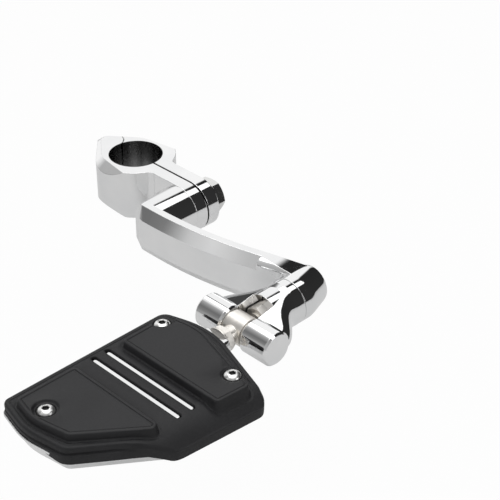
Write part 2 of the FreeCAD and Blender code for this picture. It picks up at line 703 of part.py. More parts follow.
def peg_adapter():
    left, right = tongue_span()
    tongue = rod_x(TONGUE_RADIUS, (left, right), FORK_PIN_Y)
    heel_top = -SCREW_NUT_FLATS / math.sqrt(3) - HEEL_GAP
    heel = box((left, right), (FORK_PIN_Y, FORK_CROTCH_Y - HEEL_GAP), (heel_top - HEEL_THICKNESS, heel_top))
    root = rod_y(SHANK_ROOT_DIAMETER / 2, (FORK_PIN_Y, jam_nut_face_y()), BARREL_X)
    shank = rod_y(SHANK_DIAMETER / 2, (FORK_PIN_Y - SHANK_LENGTH, FORK_PIN_Y), BARREL_X)
    solid = tongue.fuse([heel, root, shank])
    pin = PIVOT_DIAMETER / 2 + TURN_CLEARANCE
    return solid.cut(rod_x(pin, (left, right), FORK_PIN_Y)).removeSplitter()


def jam_nut_face_y():
    """The jam nut's face towards the fork, clear of the ears as the board folds."""
    return FORK_PIN_Y - FORK_EAR_RADIUS - JAM_NUT_EAR_GAP


def board_face_y():
    """Where the board's boss meets the adapter washer."""
    return jam_nut_face_y() - JAM_NUT_HEIGHT - ADAPTER_WASHER_THICKNESS


def adapter_fasteners():
    face = board_face_y()
    washer = rod_y(ADAPTER_WASHER_DIAMETER / 2, (face, face + ADAPTER_WASHER_THICKNESS), BARREL_X)
    hole = SHANK_DIAMETER / 2 + SCREW_HOLE_CLEARANCE
    washer = washer.cut(rod_y(hole, (face, face + ADAPTER_WASHER_THICKNESS), BARREL_X))
    seat = face + ADAPTER_WASHER_THICKNESS
    nut = hexagon(JAM_NUT_FLATS, from_front(seat), (BARREL_X, 0)).extrude(Vector(0, JAM_NUT_HEIGHT, 0))
    nut = bevelled(nut, JAM_NUT_FLATS / 2, NUT_BEVEL, seat + JAM_NUT_HEIGHT, BARREL_X, 1)
    nut = nut.cut(rod_y(SHANK_DIAMETER / 2, (seat, seat + JAM_NUT_HEIGHT), BARREL_X))
    return nut, washer


def on_board(corners):
    """Plan corners moved to where the board stands."""
    return [(BARREL_X + u, FORK_PIN_Y + v, *rest) for u, v, *rest in corners]


def board_outline(offset):
    """Board corners moved out by offset, square to each side."""
    plan = on_board(BOARD_NEAR_SIDE + BOARD_FAR_SIDE)
    corners = []
    for index, (u, v, radius) in enumerate(plan):
        here = Vector(u, v, 0)
        back = (here - Vector(*plan[index - 1][:2], 0)).normalize()
        ahead = (Vector(*plan[(index + 1) % len(plan)][:2], 0) - here).normalize()
        out_back = Vector(-back.y, back.x, 0)
        out_ahead = Vector(-ahead.y, ahead.x, 0)
        bisector = (out_back + out_ahead).normalize()
        moved = here + bisector * (offset / bisector.dot(out_back))
        corners.append((moved.x, moved.y, max(radius + offset, SMALLEST_CORNER)))
    return corners


def roll_envelope(inset):
    """Space under the rounded right-hand edge of the board, inset from its surface."""
    plan = on_board(BOARD_NEAR_SIDE + BOARD_FAR_SIDE)
    near, far = plan[2], plan[3]
    run = Vector(far[0] - near[0], far[1] - near[1], 0).normalize()
    across = Vector(-run.y, run.x, 0)
    edge = Vector(near[0], near[1], 0) - run * FAR / 2
    full = (ROLL_WIDTH**2 + ROLL_DROP**2) / (2 * ROLL_DROP)
    radius = full - inset
    centre_z = PAD_TOP_Z - full
    low = PAD_TOP_Z - ROLL_DROP

    def at(inward, z):
        return edge - across * inward + Vector(0, 0, z)

    last = math.acos((low - centre_z) / radius)
    start = at(ROLL_WIDTH, centre_z + radius)
    middle = at(ROLL_WIDTH - radius * math.sin(last / 2), centre_z + radius * math.cos(last / 2))
    end = at(ROLL_WIDTH - radius * math.sin(last), low)
    deep = Vector(0, 0, -FAR)
    edges = [
        Part.Arc(start, middle, end).toShape(),
        Part.LineSegment(end, end + deep).toShape(),
        Part.LineSegment(end + deep, start - across * FAR + deep).toShape(),
        Part.LineSegment(start - across * FAR + deep, start - across * FAR).toShape(),
        Part.LineSegment(start - across * FAR, start).toShape(),
    ]
    return Part.Face(Part.Wire(edges)).extrude(run * FAR)


def slot_bars(width, end_gap, low, high):
    """The two round-ended bars across the board, end_gap short of each end of the slots."""
    left = BARREL_X - BOARD_LEFT + SLOT_LEFT_MARGIN + end_gap
    right = BARREL_X + BOARD_RIGHT - SLOT_RIGHT_MARGIN - end_gap
    bars = []
    for side in (1, -1):
        y = FORK_PIN_Y + SLOT_MIDDLE + side * SLOT_SPACING / 2
        span = (y - width / 2, y + width / 2)
        bar = box((left + width / 2, right - width / 2), span, (low, high))
        ends = [rod_z(width / 2, (low, high), x, y) for x in (left + width / 2, right - width / 2)]
        bars.append(bar.fuse(ends))
    return bars


def island(corners, notches):
    """Raised field of the pad, notched round the screws that stand beside it."""
    raised = prism(on_board(corners), PAD_TOP_Z - ISLAND_SINK, PAD_TOP_Z + ISLAND_HEIGHT)
    for x, y in on_board(notches):
        raised = raised.cut(rod_z(ISLAND_NOTCH_RADIUS, (0, FAR), x, y))
    return raised


def inner_block():
    """Space under the pad's top, inside its skirt."""
    block = prism(board_outline(-PAD_SKIRT_WALL), -FAR, PAD_TOP_Z - PAD_THICKNESS)
    return block.common(roll_envelope(PAD_THICKNESS))


def board_boss():
    """Boss that takes the shank, flattened under the pad."""
    end = FORK_PIN_Y - SHANK_LENGTH - BOSS_WALL
    boss = rod_y(BOSS_DIAMETER / 2, (end, board_face_y()), BARREL_X)
    return boss.common(box((-FAR, FAR), (-FAR, FAR), (BASE_BOTTOM_Z, SHANK_DIAMETER / 2 + BOSS_ROOF)))


def board_pad():
    slab = prism(board_outline(0.0), PAD_SKIRT_Z, PAD_TOP_Z).common(roll_envelope(0.0))
    solid = slab.fuse([island(INNER_ISLAND, PAD_SCREW_PLACES[:1]), island(OUTER_ISLAND, PAD_SCREW_PLACES[2:])])
    solid = solid.cut([inner_block(), board_boss()])
    solid = solid.cut(slot_bars(SLOT_WIDTH, 0.0, 0, PAD_TOP_Z + ISLAND_HEIGHT))
    head = PAD_SCREW_HEAD_DIAMETER / 2 + PAD_SCREW_SIDE_GAP
    stem = PAD_SCREW_DIAMETER / 2 + PAD_SCREW_HOLE_CLEARANCE
    for x, y in on_board(PAD_SCREW_PLACES):
        solid = solid.cut(rod_z(head, (PAD_TOP_Z - PAD_SCREW_SINK, FAR), x, y))
        solid = solid.cut(rod_z(stem, (-FAR, FAR), x, y))
    return solid.removeSplitter()


def board_base():
    lip_low = PAD_SKIRT_Z - BASE_LIP_HEIGHT
    under_pad = PAD_TOP_Z - PAD_THICKNESS
    core = prism(board_outline(-PAD_SKIRT_WALL), lip_low, under_pad).common(roll_envelope(PAD_THICKNESS))
    lip = prism(board_outline(BASE_LIP), lip_low, PAD_SKIRT_Z).common(roll_envelope(-BASE_LIP))
    tray = tapered_prism(board_outline(-BASE_TAPER), BASE_BOTTOM_Z, board_outline(0.0), lip_low)
    roof = under_pad - BASE_FLOOR
    hollow = prism(board_outline(-BASE_TAPER - BASE_WALL), BASE_BOTTOM_Z, roof)
    hollow = hollow.common(roll_envelope(PAD_THICKNESS + BASE_FLOOR))
    solid = core.fuse([lip, tray]).cut(hollow).fuse(board_boss())
    places = on_board(PAD_SCREW_PLACES)
    post_radius = PAD_SCREW_DIAMETER / 2 + POST_WALL
    solid = solid.fuse([rod_z(post_radius, (BASE_BOTTOM_Z + POST_LIFT, roof + POST_SINK), x, y) for x, y in places])
    solid = solid.fuse(slot_bars(RIB_WIDTH, RIB_END_GAP, roof + POST_SINK, PAD_TOP_Z - RIB_SINK))
    for x, y in places:
        solid = solid.cut(rod_z(PAD_SCREW_DIAMETER / 2, (BASE_BOTTOM_Z, FAR), x, y))
    shank_space = SHANK_DIAMETER / 2 + TURN_CLEARANCE
    shank_end = FORK_PIN_Y - SHANK_LENGTH - SHANK_END_GAP
    solid = solid.cut(rod_y(shank_space, (shank_end, board_face_y()), BARREL_X))
    return solid.removeSplitter()


def pad_screws():
    """Button-head screws, each a shallow dome with a hexagon socket."""
    seat = PAD_TOP_Z - PAD_SCREW_SINK
    top = seat + PAD_SCREW_HEAD_HEIGHT
    dome_radius = PAD_SCREW_HEAD_DIAMETER
    screws = []
    for x, y in on_board(PAD_SCREW_PLACES):
        dome = Part.makeSphere(dome_radius, Vector(x, y, top - dome_radius))
        head = rod_z(PAD_SCREW_HEAD_DIAMETER / 2, (seat, top), x, y).common(dome)
        socket = hexagon(PAD_SCREW_SOCKET_FLATS, from_top(top), (x, y))
        head = head.cut(socket.extrude(Vector(0, 0, -PAD_SCREW_SOCKET_DEPTH)))
        stem = rod_z(PAD_SCREW_DIAMETER / 2, (BASE_BOTTOM_Z + PAD_SCREW_END_LIFT, seat), x, y)
        screws.append(head.fuse(stem).removeSplitter())
    return Part.makeCompound(screws)


def build():
    front, rear, pin = clamp_halves()
    bolt, lock, flat = clamp_fasteners()
    screw, washer, nut = knuckle_fasteners()
    jam_nut, adapter_washer = adapter_fasteners()
    left, right = tongue_span()
    gap = FORK_GAP / 2
    spring_room = SPRING_WASHER_THICKNESS + SPRING_WASHER_WAVE
    return {
        "clamp_front_half": front,
        "clamp_rear_half": rear,
        "clamp_hinge_pin": pin,
        "clamp_bolt": bolt,
        "clamp_lock_washer": lock,
        "clamp_flat_washer": flat,
        "offset_arm": offset_arm(),
        "knuckle_screw": screw,
        "knuckle_washer": washer,
        "fork_knuckle": fork_knuckle(),
        "knuckle_nut": nut,
        "fold_pivot_screw": fold_pivot(),
        "fold_spring_washer": spring_washer(BARREL_X - gap + SIDE_CLEARANCE, spring_room),
        "fold_side_washer": side_washer(right + SIDE_CLEARANCE, SIDE_WASHER_THICKNESS),
        "peg_adapter": peg_adapter(),
        "adapter_lock_nut": jam_nut,
        "adapter_washer": adapter_washer,
        "board_base": board_base(),
        "board_pad": board_pad(),
        "pad_screws": pad_screws(),
    }


os.makedirs("parts", exist_ok=True)
for node, shape in build().items():
    valid = shape.isValid()
    print(node, "solids", len(shape.Solids), "valid", valid, "volume", round(shape.Volume, 1))
    shape.exportStep("parts/" + node + ".step")
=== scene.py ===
import json
import math
from collections import namedtuple

import bmesh
import bpy
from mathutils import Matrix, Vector
from mathutils.geometry import delaunay_2d_cdt


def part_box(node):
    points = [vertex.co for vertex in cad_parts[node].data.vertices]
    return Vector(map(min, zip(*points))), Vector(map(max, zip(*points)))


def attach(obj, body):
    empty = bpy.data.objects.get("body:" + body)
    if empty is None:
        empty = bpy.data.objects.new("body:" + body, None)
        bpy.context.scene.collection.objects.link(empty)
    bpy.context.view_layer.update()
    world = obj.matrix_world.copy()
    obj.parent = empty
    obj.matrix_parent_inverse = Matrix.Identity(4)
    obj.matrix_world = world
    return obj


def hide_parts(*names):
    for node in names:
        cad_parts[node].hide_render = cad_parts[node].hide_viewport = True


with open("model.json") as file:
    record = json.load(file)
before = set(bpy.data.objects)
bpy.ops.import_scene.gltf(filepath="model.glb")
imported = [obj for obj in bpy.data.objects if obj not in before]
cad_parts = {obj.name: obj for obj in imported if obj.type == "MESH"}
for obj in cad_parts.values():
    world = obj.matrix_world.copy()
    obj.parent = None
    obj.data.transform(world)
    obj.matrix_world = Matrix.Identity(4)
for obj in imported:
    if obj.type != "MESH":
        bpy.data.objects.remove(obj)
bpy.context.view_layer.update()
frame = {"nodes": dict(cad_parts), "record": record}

NODES = frame["nodes"]
scene = bpy.context.scene
scene.view_settings.view_transform = "Standard"

# Camera in metres and degrees
CAMERA_PLACE = (0.55593, -0.45840, 0.41107)
CAMERA_AZIMUTH = 45.1
CAMERA_ELEVATION = 32.9
CAMERA_LENS = 99.36
SENSOR_WIDTH = 36.0

# Floor in metres, its shade, and how white it is to the camera and in mirrors
FLOOR_Z = -0.075
FLOOR_REACH = 3.0
FLOOR_SHADE = 0.62
FLOOR_WHITE_SEEN = 0.965
FLOOR_WHITE_MIRRORED = 0.15

# Brightness of the studio's walls by direction in degrees, and the heights where the ceiling fades in
STUDIO_WALLS = (
    (-180, 1.0),
    (-170, 0.8),
    (-161, 0.42),
    (-148, 0.3),
    (-136, 0.16),
    (-129, 0.22),
    (-122, 0.62),
    (-115, 0.74),
    (-104, 0.55),
    (-80, 0.3),
    (-45, 0.5),
    (0, 0.25),
    (32, 0.03),
    (119, 0.02),
    (123, 1.0),
    (144, 1.0),
    (147, 0.06),
    (153, 0.06),
    (156, 1.0),
    (180, 1.0),
)
CEILING_FADE = (0.86, 0.92)
CEILING_SHADE = 0.9
LIGHT_TARGET = (0.1, -0.08, 0.0)

# Clamp's bore in metres, inside which the metal's colour is painted darker as shade, with upright painted
# reflection streaks
BORE_RADIUS = 0.015875
BORE_EDGE = (0.0001, 0.0003)

# Plan of the pad in millimetres from the middle of the fold pivot, each corner with its radius
MM = 0.001
BOARD_CORNERS = (
    (-31.8, -24.0, 6.0),
    (-4.5, -15.5, 50.0),
    (50.0, -34.0, 5.0),
    (44.8, -84.5, 12.0),
    (15.0, -125.0, 8.0),
    (-9.5, -129.0, 40.0),
    (-31.8, -124.0, 4.0),
)
INNER_ISLAND = (
    (-25.0, -27.0, 3.0),
    (-5.5, -22.7, 40.0),
    (45.0, -37.5, 3.5),
    (43.0, -58.0, 3.0),
    (-25.0, -58.0, 3.0),
)
OUTER_ISLAND = (
    (-25.0, -86.0, 3.0),
    (40.0, -86.0, 3.5),
    (12.5, -120.5, 4.0),
    (-8.5, -125.0, 30.0),
    (-25.0, -121.5, 3.5),
)
ISLAND_HEIGHT = 3.6
SMOOTH_ISLAND_INSET = 0.9

# Spacing of the pad's points, the slight bow of its straight runs, and the steps of its arcs
SMALLEST_CORNER = 0.3
POINT_SPACING = 5.0
BOW = 0.04
CORNER_STEPS = 8
SLOT_END_STEPS = 8
HOLE_SIDES = 28
SCREW_SIDES = 48
MERGE_DISTANCE = 1e-5
SHARP_ANGLE = 38

# Two open slots across the pad, with their rim as (outward, drop)
SLOT_MIDDLES = (-64.8, -73.4)
SLOT_ENDS = (-28.0, 35.0)
SLOT_RADIUS = 1.55
SLOT_DEPTH = 5.3
SLOT_RIM = ((0.0, 0.45), (0.12, 0.18), (0.5, 0.0))
SLOT_TOLERANCE = 0.06

# Rounded right-hand edge, with the distances from it that get lines of points
ROLL_WIDTH = 14.0
ROLL_REACH = 0.8
ROLL_DROP = 8.0
ROLL_LINES = (0.8, 1.8, 3.0, 4.4, 6.0, 8.0, 10.5, 14.0)
ROLL_LINE_START = -20.0
ROLL_LINE_SPACING = 2.0
ROLL_LINE_POINTS = 60
ROLL_SLOT_CLEARANCE = 0.7
ROLL_EDGE_CLEARANCE = 0.15
ROLL_FLAT_EDGE = (0.0, 5.0)

# Screws, each on a round land of its own height and radius, with the land's rim as (share, drop)
Screw = namedtuple("Screw", "x y land reach")
SCREWS = (
    Screw(-24.2, -31.5, -0.1, 7.0),
    Screw(32.5, -37.9, 2.9, 6.0),
    Screw(-9.5, -115.5, 2.3, 6.8),
)
LAND_SHARE = 0.3
LAND_RIM = (
    (0.0, 0.3),
    (0.12, 0.05),
    (0.3, 0.0),
    (0.5, 0.0),
    (0.65, 0.0),
    (0.8, 0.0),
    (1.0, 0.0),
)
SCREW_HOLE = 4.8
SCREW_STEM = 2.7
SCREW_SINK = 0.9
HOLE_TOLERANCE = 0.05

# Half sections of the screw and its socket as (radius, height) and (outward, height)
SCREW_PROFILE = (
    (2.45, -9.0),
    (2.45, 0.0),
    (4.35, 0.0),
    (4.4, 0.08),
    (4.4, 0.5),
    (4.3, 0.85),
    (3.95, 1.4),
    (3.4, 1.85),
    (2.75, 2.2),
    (2.2, 2.4),
)
SOCKET_APOTHEM = 1.5
SOCKET_PROFILE = (
    (0.25, 2.42),
    (0.0, 2.15),
    (0.0, 0.9),
)
# Reach of the socket's painted shade: margin round the socket, and top above the seat
SOCKET_SHADE_MARGIN = 0.25
SOCKET_SHADE_TOP = 2.2

# Pad's edge by the distance inward, as (inward, height)
EDGE_PROFILE = (
    (0.0, -1.2),
    (0.1, -0.8),
    (0.35, -0.35),
    (0.8, -0.08),
    (1.3, 0.0),
    (2.4, 0.0),
    (2.7, -0.3),
    (3.1, 0.0),
)

# Island by the distance inward, as (inward, share of its height, groove)
ISLAND_PROFILE = (
    (-1.6, 0.0, 0.0),
    (-1.2, 0.0, -0.3),
    (-0.5, 0.0, -0.35),
    (0.0, 0.08, -0.2),
    (0.35, 0.8, 0.0),
    (0.55, 0.93, 0.0),
    (0.95, 1.0, -0.02),
    (1.9, 1.0, 0.0),
    (2.15, 1.0, -0.35),
    (2.5, 1.0, -0.35),
    (2.8, 1.0, -0.05),
)

# Rows of the skirt as (outward, height): short above the tray's rim, long over it, and at the rounded edge
SKIRT_ROWS = (
    ((0.0, -3.0), (0.0, -3.0), (1.15, -7.4)),
    ((-0.45, -3.4), (-0.45, -3.4), (1.15, -8.2)),
    ((-0.45, -4.0), (-0.45, -4.0), (1.15, -9.2)),
    ((0.0, -4.5), (0.95, -4.5), (1.1, -10.8)),
    ((0.0, -5.7), (1.05, -8.5), (1.0, -12.6)),
    ((-0.2, -6.0), (0.8, -8.8), (-0.3, -13.9)),
    ((-2.5, -6.0), (-2.5, -8.8), (-2.5, -14.1)),
)

# Where the skirt grows long, and where it turns into the rounded edge
LONG_FROM_LEFT = (-9.0, 14.0)
LONG_FROM_BACK = (31.0, 42.0)
ROLL_OUTWARD = (0.0, 5.0)
ROLL_DOWNWARD = (6.5, 14.0)


class Nodes:
    """Short way to write a material's or the world's node tree."""

    def __init__(self, tree):
        self.tree = tree
        tree.nodes.clear()

    def add(self, kind, settings=None, **inputs):
        node = self.tree.nodes.new(kind)
        for name, value in (settings or {}).items():
            setattr(node, name, value)
        for name, value in inputs.items():
            self.connect(node.inputs[name.replace("_", " ")], value)
        return node

    def connect(self, socket, value):
        if isinstance(value, bpy.types.NodeSocket):
            self.tree.links.new(value, socket)
        else:
            socket.default_value = value

    def math(self, operation, *values):
        node = self.add("ShaderNodeMath", {"operation": operation})
        for socket, value in zip(node.inputs, values):
            self.connect(socket, value)
        return node.outputs[0]

    def ramp(self, factor, stops):
        node = self.add("ShaderNodeValToRGB", Fac=factor)
        elements = node.color_ramp.elements
        elements.remove(elements[1])
        elements[0].position, elements[0].color = stops[0]
        for place, colour in stops[1:]:
            elements.new(place).color = colour
        return node.outputs[0]

    def step(self, value, low, high):
        """Smooth rise from 0 at low to 1 at high."""
        settings = {"interpolation_type": "SMOOTHSTEP"}
        return self.add("ShaderNodeMapRange", settings, Value=value, From_Min=low, From_Max=high).outputs[0]

    def noise(self, vector, scale, detail, roughness=0.5):
        inputs = {"Vector": vector, "Scale": scale, "Detail": detail, "Roughness": roughness}
        return self.add("ShaderNodeTexNoise", **inputs).outputs[0]

    def place(self):
        return self.add("ShaderNodeTexCoord").outputs["Object"]

    def stretched(self, vector, scale):
        return self.add("ShaderNodeMapping", Vector=vector, Scale=scale).outputs[0]

    def soft_edge(self, radius):
        return self.add("ShaderNodeBevel", {"samples": 6}, Radius=radius).outputs[0]

    def bump(self, height, strength, distance, normal):
        inputs = {"Height": height, "Strength": strength, "Distance": distance, "Normal": normal}
        return self.add("ShaderNodeBump", **inputs).outputs[0]

    def mix_colours(self, share, first, second):
        node = self.add("ShaderNodeMix", {"data_type": "RGBA"})
        for index, value in ((0, share), (6, first), (7, second)):
            self.connect(node.inputs[index], value)
        return node.outputs[2]

    def mix_shaders(self, share, first, second):
        node = self.add("ShaderNodeMixShader")
        for socket, value in zip(node.inputs, (share, first, second)):
            self.connect(socket, value)
        return node.outputs[0]


def rgb(red, green, blue):
    return (red, green, blue, 1.0)


def grey(value):
    return rgb(value, value, value)


def new_material(name):
    material = bpy.data.materials.new(name)
    material.use_nodes = True
    return material, Nodes(material.node_tree)


def bore_shade_and_gloss(tree, place, colour, gloss):
    """Painted shade with upright painted reflection streaks in the colour, and rougher metal, inside the
    clamp's bore.
    """
    x, y, _ = tree.add("ShaderNodeSeparateXYZ", Vector=place).outputs
    squared = tree.math("ADD", tree.math("MULTIPLY", x, x), tree.math("MULTIPLY", y, y))
    radius = tree.math("SQRT", squared)
    outside = tree.step(radius, *(BORE_RADIUS + margin for margin in BORE_EDGE))
    streaks = tree.noise(tree.stretched(place, (1.0, 1.0, 0.03)), 190.0, 3.0, 0.6)
    # Dark greys of painted shade, broken by upright painted reflection streaks
    dark = tree.ramp(streaks, ((0.35, grey(0.07)), (0.65, grey(0.24))))
    inside = tree.math("SUBTRACT", 1.0, outside)
    return tree.mix_colours(outside, dark, colour), tree.math("MULTIPLY_ADD", inside, 0.22, gloss)


def metal(name, light, dark, rough, rough_spread, edge, grain=1.0, bored=False):
    """Metal with soft edges, faint tone changes, fine polishing marks and uneven gloss."""
    material, tree = new_material(name)
    place = tree.place()
    colour = tree.ramp(tree.noise(place, 45.0, 3.0), ((0.3, dark), (0.7, light)))
    levels = ((0.35, grey(rough)), (0.75, grey(rough + rough_spread)))
    gloss = tree.ramp(tree.noise(place, 160.0, 4.0, 0.65), levels)
    # Inside the clamp's bore, painted shade and painted reflection streaks go into the colour
    if bored:
        colour, gloss = bore_shade_and_gloss(tree, place, colour, gloss)
    marks = tree.noise(tree.stretched(place, (1.0, 1.0, grain)), 900.0, 2.0, 0.6)
    normal = tree.bump(marks, 0.02, 0.0001, tree.soft_edge(edge))
    inputs = {"Metallic": 1.0, "Base_Color": colour, "Roughness": gloss, "Normal": normal}
    surface = tree.add("ShaderNodeBsdfPrincipled", **inputs)
    tree.add("ShaderNodeOutputMaterial", Surface=surface.outputs[0])
    return material


def rubber(name, grain_depth, rough):
    """Satin moulded rubber with a fine grain, broad tone changes and soft edges."""
    material, tree = new_material(name)
    place = tree.place()
    grain = tree.noise(place, 2600.0, 3.0, 0.6)
    pores = tree.noise(place, 700.0, 4.0, 0.6)
    broad = tree.noise(place, 38.0, 3.0)
    tone = tree.math("MULTIPLY_ADD", pores, 0.35, tree.math("MULTIPLY", broad, 0.65))
    colour = tree.ramp(tone, ((0.3, rgb(0.012, 0.012, 0.013)), (0.75, rgb(0.024, 0.024, 0.026))))
    gloss = tree.ramp(broad, ((0.3, grey(rough)), (0.7, grey(rough + 0.08))))
    fine = tree.bump(grain, 0.25, 0.00008 * grain_depth, tree.soft_edge(0.0004))
    normal = tree.bump(pores, 0.18, 0.0002 * grain_depth, fine)
    inputs = {"Specular_IOR_Level": 0.3, "Base_Color": colour, "Roughness": gloss, "Normal": normal}
    surface = tree.add("ShaderNodeBsdfPrincipled", **inputs)
    tree.add("ShaderNodeOutputMaterial", Surface=surface.outputs[0])
    return material


def studio_world():
    """Studio as the metal sees it: white backdrop and side box with dark gaps, and a white ceiling."""
    world = bpy.data.worlds.new("studio")
    scene.world = world
    world.use_nodes = True
    tree = Nodes(world.node_tree)
    direction = tree.add("ShaderNodeTexCoord").outputs["Generated"]
    x, y, z = tree.add("ShaderNodeSeparateXYZ", Vector=direction).outputs
    turn = tree.math("MULTIPLY_ADD", tree.math("ARCTAN2", y, x), 0.5 / math.pi, 0.5)
    walls = tree.ramp(turn, [(place / 360 + 0.5, grey(value)) for place, value in STUDIO_WALLS])
    colour = tree.mix_colours(tree.step(z, *CEILING_FADE), walls, grey(CEILING_SHADE))
    studio = tree.add("ShaderNodeBackground", Color=colour).outputs[0]
    white = tree.add("ShaderNodeBackground", Color=grey(1.0)).outputs[0]
    seen = tree.add("ShaderNodeLightPath").outputs["Is Camera Ray"]
    tree.add("ShaderNodeOutputWorld", Surface=tree.mix_shaders(seen, studio, white))


def floor_material():
    material, tree = new_material("floor")
    surface = tree.add("ShaderNodeBsdfDiffuse", Color=grey(FLOOR_SHADE)).outputs[0]
    white = tree.add("ShaderNodeEmission", Strength=1.0).outputs[0]
    rays = tree.add("ShaderNodeLightPath").outputs
    seen = tree.math("MULTIPLY", rays["Is Camera Ray"], FLOOR_WHITE_SEEN)
    share = tree.math("MULTIPLY_ADD", rays["Is Glossy Ray"], FLOOR_WHITE_MIRRORED, seen)
    tree.add("ShaderNodeOutputMaterial", Surface=tree.mix_shaders(share, surface, white))
    return material


def floor():
    mesh = bpy.data.meshes.new("floor")
    signs = ((-1, -1), (1, -1), (1, 1), (-1, 1))
    corners = [(x * FLOOR_REACH, y * FLOOR_REACH, FLOOR_Z) for x, y in signs]
    mesh.from_pydata(corners, [], [(0, 1, 2, 3)])
    mesh.materials.append(floor_material())
    sheet = bpy.data.objects.new("floor", mesh)
    scene.collection.objects.link(sheet)


def area_light(name, place, size, power, mirrored=True):
    data = bpy.data.lights.new(name, "AREA")
    data.shape = "RECTANGLE"
    data.size, data.size_y = size
    data.energy = power
    light = bpy.data.objects.new(name, data)
    light.location = place
    light.rotation_mode = "QUATERNION"
    light.rotation_quaternion = (Vector(LIGHT_TARGET) - Vector(place)).to_track_quat("-Z", "Y")
    light.visible_glossy = mirrored
    scene.collection.objects.link(light)


def camera():
    data = bpy.data.cameras.new("camera")
    data.lens = CAMERA_LENS
    data.sensor_width = SENSOR_WIDTH
    data.clip_start = 0.01
    data.clip_end = 20.0
    eye = bpy.data.objects.new("camera", data)
    azimuth, elevation = math.radians(CAMERA_AZIMUTH), math.radians(CAMERA_ELEVATION)
    back = Vector((
        math.sin(azimuth) * math.cos(elevation),
        -math.cos(azimuth) * math.cos(elevation),
        math.sin(elevation),
    ))
    eye.location = CAMERA_PLACE
    eye.rotation_mode = "QUATERNION"
    eye.rotation_quaternion = (-back).to_track_quat("-Z", "Y")
    scene.collection.objects.link(eye)
    scene.camera = eye


def corner_loop(corners, inset):
    """Points and outward directions round a convex plan, moved in by inset and rounded at its corners."""
    arcs = []
    for index, corner in enumerate(corners):
        here = Vector(corner[:2])
        back = (Vector(corners[index - 1][:2]) - here).normalized()
        ahead = (Vector(corners[(index + 1) % len(corners)][:2]) - here).normalized()
        half = back.angle(ahead) / 2
        bisector = (back + ahead).normalized()
        radius = max(corner[2] - inset, SMALLEST_CORNER)
        centre = here + bisector * ((inset + radius) / math.sin(half))
        middle = math.atan2(-bisector.y, -bisector.x)
        sweep = math.pi / 2 - half
        shares = [1 - 2 * step / CORNER_STEPS for step in range(CORNER_STEPS + 1)]
        angles = [middle + sweep * share for share in shares]
        ways = [Vector((math.cos(angle), math.sin(angle))) for angle in angles]
        arcs.append([(centre + way * radius, way) for way in ways])
    return arcs


def plain_loop(corners):
    return [point for arc in corner_loop(corners, 0.0) for point, _ in arc]


def spaced_loop(corners, inset):
    """The same loop with more points along its straight runs, which bow out a little."""
    arcs = corner_loop(corners, inset)
    loop = []
    for index, arc in enumerate(arcs):
        loop.extend(arc)
        start, way = arc[-1]
        end = arcs[(index + 1) % len(arcs)][0][0]
        count = int((end - start).length // POINT_SPACING)
        for step in range(1, count + 1):
            share = step / (count + 1)
            loop.append((start.lerp(end, share) + way * (4 * BOW * share * (1 - share)), way))
    return loop


def spaced_points(corners, inset):
    return [point for point, _ in spaced_loop(corners, inset)]


def depth_inside(loop, point):
    """Distance from the point to a clockwise convex loop, positive inside."""
    nearest = math.inf
    inside = True
    for index, end in enumerate(loop):
        start = loop[index - 1]
        run = end - start
        away = point - start
        share = min(max(away.dot(run) / run.length_squared, 0.0), 1.0)
        nearest = min(nearest, (away - run * share).length)
        if run.x * away.y - run.y * away.x > 0:
            inside = False
    return nearest if inside else -nearest


def along_profile(profile, distance):
    """Values of a stepped profile at a distance, straight between its steps."""
    if distance <= profile[0][0]:
        return profile[0][1:]
    for before, after in zip(profile, profile[1:]):
        if distance <= after[0]:
            share = (distance - before[0]) / (after[0] - before[0])
            return tuple(a + (b - a) * share for a, b in zip(before[1:], after[1:]))
    return profile[-1][1:]


def smooth(value, low, high):
    share = min(max((value - low) / (high - low), 0.0), 1.0)
    return share * share * (3 - 2 * share)


def right_edge():
    """A point on the board's straight right-hand edge, the way along it and the way in from it."""
    near, far = Vector(BOARD_CORNERS[2][:2]), Vector(BOARD_CORNERS[3][:2])
    run = (far - near).normalized()
    return near, run, Vector((run.y, -run.x))


def into_roll(point):
    """How far the point lies past the start of the rounded right-hand edge."""
    near, _, inward = right_edge()
    return ROLL_WIDTH - (point - near).dot(inward)


def roll_fall(point):
    """Drop of the pad's top towards the rounded right-hand edge."""
    over = into_roll(point)
    if over <= 0:
        return 0.0
    reach = ROLL_WIDTH + ROLL_REACH
    full = (reach**2 + ROLL_DROP**2) / (2 * ROLL_DROP)
    return full - math.sqrt(full**2 - min(over, reach) ** 2)


def circle_points(centre, radius, count):
    angles = [2 * math.pi * step / count for step in range(count)]
    return [Vector((centre[0] + radius * math.cos(a), centre[1] + radius * math.sin(a))) for a in angles]


def hexagon_points(centre, apothem, count):
    points = []
    for step in range(count):
        angle = 2 * math.pi * step / count
        radius = apothem / math.cos((angle % (math.pi / 3)) - math.pi / 6)
        points.append((centre[0] + radius * math.cos(angle), centre[1] + radius * math.sin(angle)))
    return points


def slot_points(middle, radius):
    """Outline of a round-ended slot across the board."""
    points = []
    for end, start in ((SLOT_ENDS[1] - SLOT_RADIUS, -90), (SLOT_ENDS[0] + SLOT_RADIUS, 90)):
        for step in range(SLOT_END_STEPS + 1):
            angle = math.radians(start + 180 * step / SLOT_END_STEPS)
            points.append(Vector((end + radius * math.cos(angle), middle + radius * math.sin(angle))))
    return points


def slot_distance(point, middle):
    nearest = min(max(point.x, SLOT_ENDS[0] + SLOT_RADIUS), SLOT_ENDS[1] - SLOT_RADIUS)
    return (point - Vector((nearest, middle))).length - SLOT_RADIUS


def screw_distance(point, screw):
    return (point - Vector((screw.x, screw.y))).length


